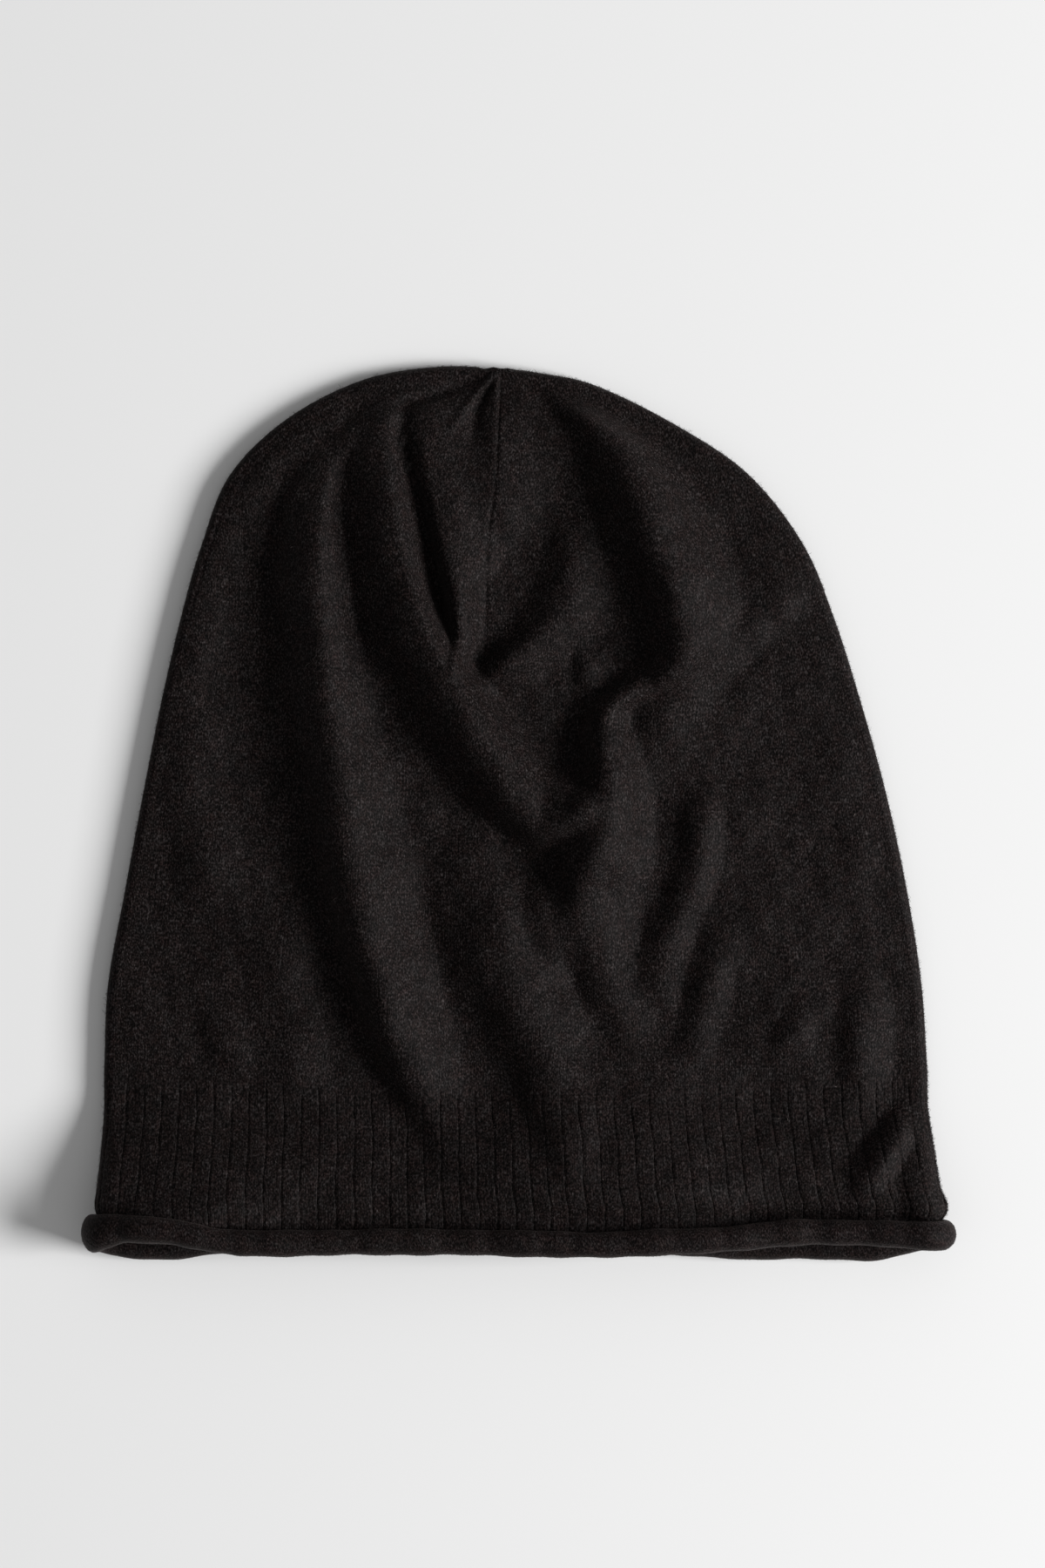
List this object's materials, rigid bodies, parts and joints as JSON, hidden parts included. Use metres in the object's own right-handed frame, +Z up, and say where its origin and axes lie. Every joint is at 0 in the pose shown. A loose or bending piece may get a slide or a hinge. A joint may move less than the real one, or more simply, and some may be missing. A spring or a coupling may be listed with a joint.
{
  "type": "oversized knitted beanie",
  "caption": "Soft slouchy knitted beanie lying flat, with long folds in its front layer, a snug rib band and a hem that curls into a roll.",
  "frame": {"origin": "on the flat underside of the back layer, midway across the hat and midway from the hem to the tip", "axes": "+Y from the mouth to the gathered tip, +X across the mouth, +Z up from the surface it lies on, out of the folded front layer"},
  "size_m": [0.2604, 0.2662, 0.0226],
  "materials": {
    "crown_knit": "fine stocking stitch in soft near-black cashmere yarn, with a short halo",
    "rib_knit": "narrow vertical ribs in the same near-black yarn",
    "hem_knit": "curled hem that shows the purl side of the same near-black knit"
  },
  "bodies": {
    "root": {"crown": "crown_knit", "rib_band": "rib_knit", "rolled_brim": "hem_knit"}
  },
  "joints": []
}
